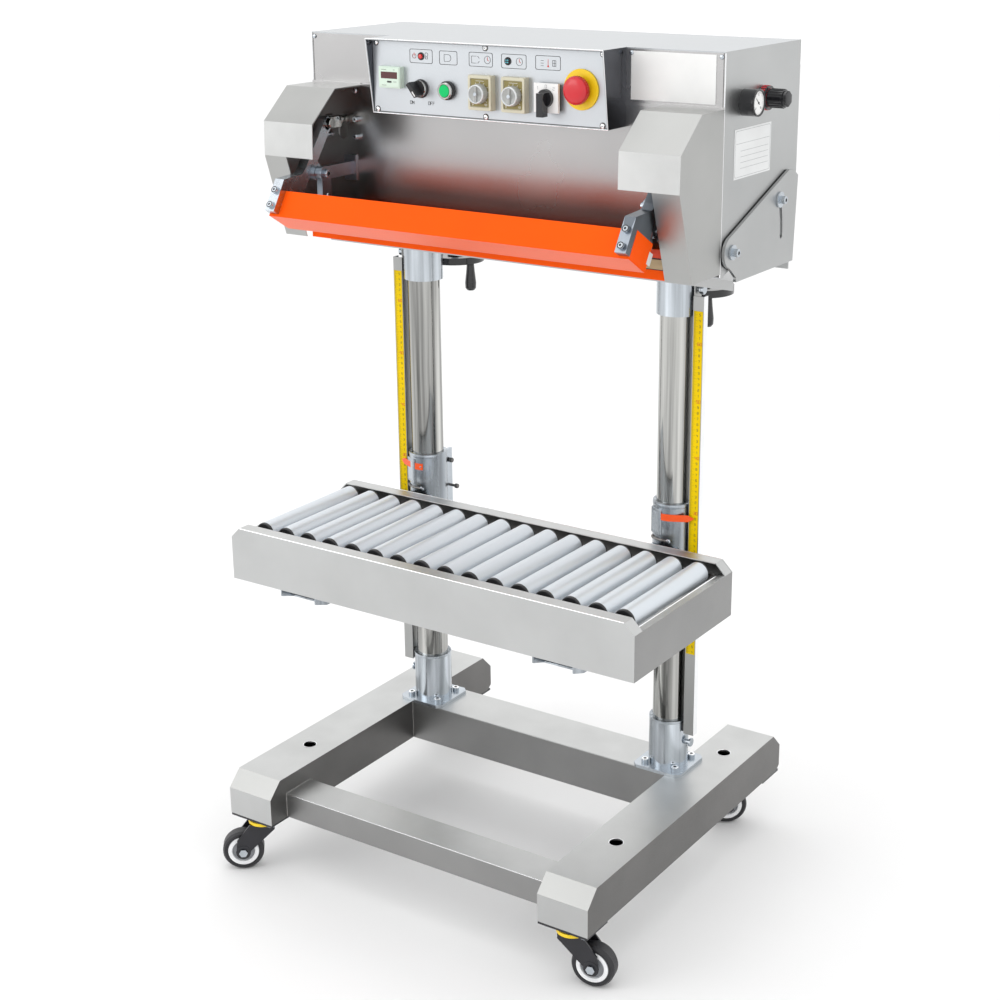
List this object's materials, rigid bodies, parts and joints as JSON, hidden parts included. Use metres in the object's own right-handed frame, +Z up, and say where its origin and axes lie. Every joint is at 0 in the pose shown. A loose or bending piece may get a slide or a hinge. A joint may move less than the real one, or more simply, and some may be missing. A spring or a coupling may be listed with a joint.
{
  "type": "heat sealer",
  "caption": "Upright pneumatic bar sealer on a wheeled stand: heated jaw pair under a tilting head, height-adjustable roller tray on two columns",
  "frame": {"origin": "on the floor under the middle of the stand, on the plane midway between the two columns", "axes": "+Z up; -Y towards the operator; +X to the operator's right as they face the machine"},
  "size_m": [0.8763, 0.7217, 1.474],
  "materials": {
    "satin_steel": "bead-blasted stainless sheet",
    "bright_steel": "bright zinc-plated steel",
    "polished_steel": "polished",
    "black_steel": "satin black",
    "dark_steel": "dark grey lacquer",
    "wheel_rubber": "black rubber with a light ring",
    "rail_aluminium": "natural",
    "tape_yellow": "yellow enamel with black graduations",
    "belt_rubber": "matt",
    "pointer_orange": "orange",
    "black_plastic": "moulded black",
    "grey_plastic": "moulded grey",
    "pale_plastic": "cream and grey mouldings",
    "roller_grey": "light grey tube with black caps",
    "jaw_orange": "orange-red enamel",
    "button_green": "green",
    "button_red": "red"
  },
  "bodies": {
    "stand": {"base_frame": "satin_steel", "caster_plates": "black_steel", "columns": "polished_steel", "column_collars": "bright_steel", "scale_rails": "rail_aluminium", "scale_tapes": "tape_yellow", "tilt_cradle": "satin_steel", "drive_belts": "belt_rubber"},
    "caster_fr": {"fork_fr": "black_steel"},
    "caster_fl": {"fork_fl": "black_steel"},
    "caster_rr": {"fork_rr": "black_steel"},
    "caster_rl": {"fork_rl": "black_steel"},
    "roll_fr": {"wheel_fr": "wheel_rubber"},
    "roll_fl": {"wheel_fl": "wheel_rubber"},
    "roll_rr": {"wheel_rr": "wheel_rubber"},
    "roll_rl": {"wheel_rl": "wheel_rubber"},
    "tray": {"tray_frame": "satin_steel", "tray_carriers": "bright_steel", "height_pointers": "pointer_orange"},
    "crank_right": {"handwheel_right": "black_plastic"},
    "crank_left": {"handwheel_left": "black_plastic"},
    "screw_right": {"lift_screw_right": "bright_steel"},
    "screw_left": {"lift_screw_left": "bright_steel"},
    "head": {"head_case": "satin_steel", "head_front": "satin_steel", "control_hood": "satin_steel", "panel_instruments": "pale_plastic", "power_unit": "dark_steel", "arm_guards": "satin_steel", "fixed_jaw": "jaw_orange", "fulcrum_brackets": "bright_steel", "air_cylinders": "rail_aluminium", "air_unit": "black_plastic", "tilt_bolts": "bright_steel"},
    "rods": {"cylinder_rods": "polished_steel"},
    "jaw": {"moving_jaw": "jaw_orange", "jaw_arms": "bright_steel"},
    "regulator": {"regulator_knob": "black_plastic"},
    "selector": {"selector_knob": "black_plastic"},
    "start": {"start_button": "button_green"},
    "timer_l": {"timer_knob_left": "grey_plastic"},
    "timer_r": {"timer_knob_right": "grey_plastic"},
    "cam": {"cam_lever": "black_plastic"},
    "stop": {"stop_button": "button_red"},
    "roll_01": {"roller_01": "roller_grey"},
    "roll_02": {"roller_02": "roller_grey"},
    "roll_03": {"roller_03": "roller_grey"},
    "roll_04": {"roller_04": "roller_grey"},
    "roll_05": {"roller_05": "roller_grey"},
    "roll_06": {"roller_06": "roller_grey"},
    "roll_07": {"roller_07": "roller_grey"},
    "roll_08": {"roller_08": "roller_grey"},
    "roll_09": {"roller_09": "roller_grey"},
    "roll_10": {"roller_10": "roller_grey"},
    "roll_11": {"roller_11": "roller_grey"},
    "roll_12": {"roller_12": "roller_grey"},
    "roll_13": {"roller_13": "roller_grey"},
    "roll_14": {"roller_14": "roller_grey"},
    "roll_15": {"roller_15": "roller_grey"},
    "roll_16": {"roller_16": "roller_grey"}
  },
  "joints": [
    {"name": "caster_swivel_fr", "type": "hinge", "parent": "stand", "child": "caster_fr", "pos_m": [0.3342, -0.352, 0.1], "axis": [0, 0, 1], "continuous": true},
    {"name": "wheel_spin_fr", "type": "hinge", "parent": "caster_fr", "child": "roll_fr", "pos_m": [0.3724, -0.34416, 0.0375], "axis": [-0.2011, 0.9796, 0], "continuous": true},
    {"name": "caster_swivel_fl", "type": "hinge", "parent": "stand", "child": "caster_fl", "pos_m": [-0.3342, -0.352, 0.1], "axis": [0, 0, 1], "continuous": true},
    {"name": "wheel_spin_fl", "type": "hinge", "parent": "caster_fl", "child": "roll_fl", "pos_m": [-0.36421, -0.37691, 0.0375], "axis": [0.6388, -0.7694, 0], "continuous": true},
    {"name": "caster_swivel_rr", "type": "hinge", "parent": "stand", "child": "caster_rr", "pos_m": [0.3342, 0.279, 0.1], "axis": [0, 0, 1], "continuous": true},
    {"name": "wheel_spin_rr", "type": "hinge", "parent": "caster_rr", "child": "roll_rr", "pos_m": [0.30187, 0.25719, 0.0375], "axis": [0.5592, -0.829, 0], "continuous": true},
    {"name": "caster_swivel_rl", "type": "hinge", "parent": "stand", "child": "caster_rl", "pos_m": [-0.3342, 0.279, 0.1], "axis": [0, 0, 1], "continuous": true},
    {"name": "wheel_spin_rl", "type": "hinge", "parent": "caster_rl", "child": "roll_rl", "pos_m": [-0.37085, 0.26566, 0.0375], "axis": [0.342, -0.9397, 0], "continuous": true},
    {"name": "roller_spin_01", "type": "hinge", "parent": "tray", "child": "roll_01", "pos_m": [-0.37298, -0.1395, 0.6165], "axis": [0, 1, 0], "continuous": true},
    {"name": "roller_spin_02", "type": "hinge", "parent": "tray", "child": "roll_02", "pos_m": [-0.32325, -0.1395, 0.6165], "axis": [0, 1, 0], "continuous": true},
    {"name": "roller_spin_03", "type": "hinge", "parent": "tray", "child": "roll_03", "pos_m": [-0.27352, -0.1395, 0.6165], "axis": [0, 1, 0], "continuous": true},
    {"name": "roller_spin_04", "type": "hinge", "parent": "tray", "child": "roll_04", "pos_m": [-0.22379, -0.1395, 0.6165], "axis": [0, 1, 0], "continuous": true},
    {"name": "roller_spin_05", "type": "hinge", "parent": "tray", "child": "roll_05", "pos_m": [-0.17405, -0.1395, 0.6165], "axis": [0, 1, 0], "continuous": true},
    {"name": "roller_spin_06", "type": "hinge", "parent": "tray", "child": "roll_06", "pos_m": [-0.12433, -0.1395, 0.6165], "axis": [0, 1, 0], "continuous": true},
    {"name": "roller_spin_07", "type": "hinge", "parent": "tray", "child": "roll_07", "pos_m": [-0.07459, -0.1395, 0.6165], "axis": [0, 1, 0], "continuous": true},
    {"name": "roller_spin_08", "type": "hinge", "parent": "tray", "child": "roll_08", "pos_m": [-0.02487, -0.1395, 0.6165], "axis": [0, 1, 0], "continuous": true},
    {"name": "roller_spin_09", "type": "hinge", "parent": "tray", "child": "roll_09", "pos_m": [0.02487, -0.1395, 0.6165], "axis": [0, 1, 0], "continuous": true},
    {"name": "roller_spin_10", "type": "hinge", "parent": "tray", "child": "roll_10", "pos_m": [0.07459, -0.1395, 0.6165], "axis": [0, 1, 0], "continuous": true},
    {"name": "roller_spin_11", "type": "hinge", "parent": "tray", "child": "roll_11", "pos_m": [0.12433, -0.1395, 0.6165], "axis": [0, 1, 0], "continuous": true},
    {"name": "roller_spin_12", "type": "hinge", "parent": "tray", "child": "roll_12", "pos_m": [0.17405, -0.1395, 0.6165], "axis": [0, 1, 0], "continuous": true},
    {"name": "roller_spin_13", "type": "hinge", "parent": "tray", "child": "roll_13", "pos_m": [0.22379, -0.1395, 0.6165], "axis": [0, 1, 0], "continuous": true},
    {"name": "roller_spin_14", "type": "hinge", "parent": "tray", "child": "roll_14", "pos_m": [0.27352, -0.1395, 0.6165], "axis": [0, 1, 0], "continuous": true},
    {"name": "roller_spin_15", "type": "hinge", "parent": "tray", "child": "roll_15", "pos_m": [0.32325, -0.1395, 0.6165], "axis": [0, 1, 0], "continuous": true},
    {"name": "roller_spin_16", "type": "hinge", "parent": "tray", "child": "roll_16", "pos_m": [0.37298, -0.1395, 0.6165], "axis": [0, 1, 0], "continuous": true},
    {"name": "tray_lift", "type": "slide", "parent": "stand", "child": "tray", "axis": [0, 0, 1], "range_m": [-0.24, 0.3]},
    {"name": "screw_turn_right", "type": "hinge", "parent": "stand", "child": "screw_right", "pos_m": [0.266, 0.086, 0.6], "axis": [0, 0, 1], "range_deg": [-4320, 5400]},
    {"name": "crank_turn_right", "type": "hinge", "parent": "stand", "child": "crank_right", "pos_m": [0.262, 0.18, 1.054], "axis": [0, 0, 1], "range_deg": [-4320, 5400]},
    {"name": "screw_turn_left", "type": "hinge", "parent": "stand", "child": "screw_left", "pos_m": [-0.266, 0.086, 0.6], "axis": [0, 0, 1], "range_deg": [-4320, 5400]},
    {"name": "crank_turn_left", "type": "hinge", "parent": "stand", "child": "crank_left", "pos_m": [-0.262, 0.18, 1.054], "axis": [0, 0, 1], "range_deg": [-4320, 5400]},
    {"name": "head_tilt", "type": "hinge", "parent": "stand", "child": "head", "pos_m": [0, -0.01, 1.164], "axis": [-1, 0, 0], "range_deg": [0, 20]},
    {"name": "jaw_close", "type": "hinge", "parent": "head", "child": "jaw", "pos_m": [0, -0.118, 1.244], "axis": [1, 0, 0], "range_deg": [0, 31.5]},
    {"name": "rod_stroke", "type": "slide", "parent": "head", "child": "rods", "axis": [0, -1, 0], "range_m": [0, 0.048]},
    {"name": "selector_turn", "type": "hinge", "parent": "head", "child": "selector", "pos_m": [-0.1305, -0.09, 1.3955], "axis": [0, 1, 0], "range_deg": [0, 78]},
    {"name": "start_press", "type": "slide", "parent": "head", "child": "start", "axis": [0, 1, 0], "range_m": [0, 0.0035], "stiffness_N_per_m": 400, "springref_m": -0.002},
    {"name": "timer_turn_left", "type": "hinge", "parent": "head", "child": "timer_l", "pos_m": [-0.0035, -0.1, 1.3955], "axis": [0, 1, 0], "range_deg": [0, 300]},
    {"name": "timer_turn_right", "type": "hinge", "parent": "head", "child": "timer_r", "pos_m": [0.0615, -0.1, 1.3955], "axis": [0, 1, 0], "range_deg": [0, 300]},
    {"name": "cam_turn", "type": "hinge", "parent": "head", "child": "cam", "pos_m": [0.124, -0.1, 1.3955], "axis": [0, 1, 0], "range_deg": [-90, 90]},
    {"name": "stop_press", "type": "slide", "parent": "head", "child": "stop", "axis": [0, 1, 0], "range_m": [0, 0.0045], "stiffness_N_per_m": 300, "springref_m": -0.003},
    {"name": "regulator_turn", "type": "hinge", "parent": "head", "child": "regulator", "pos_m": [0.43, 0.093, 1.394], "axis": [1, 0, 0], "range_deg": [-720, 720]}
  ],
  "couplings": [
    {"joint": "screw_turn_right", "follows": "tray_lift", "rad_per_m": 314.16},
    {"joint": "crank_turn_right", "follows": "tray_lift", "rad_per_m": 314.16},
    {"joint": "screw_turn_left", "follows": "tray_lift", "rad_per_m": 314.16},
    {"joint": "crank_turn_left", "follows": "tray_lift", "rad_per_m": 314.16},
    {"joint": "rod_stroke", "follows": "jaw_close", "m_per_rad": 0.084811}
  ]
}
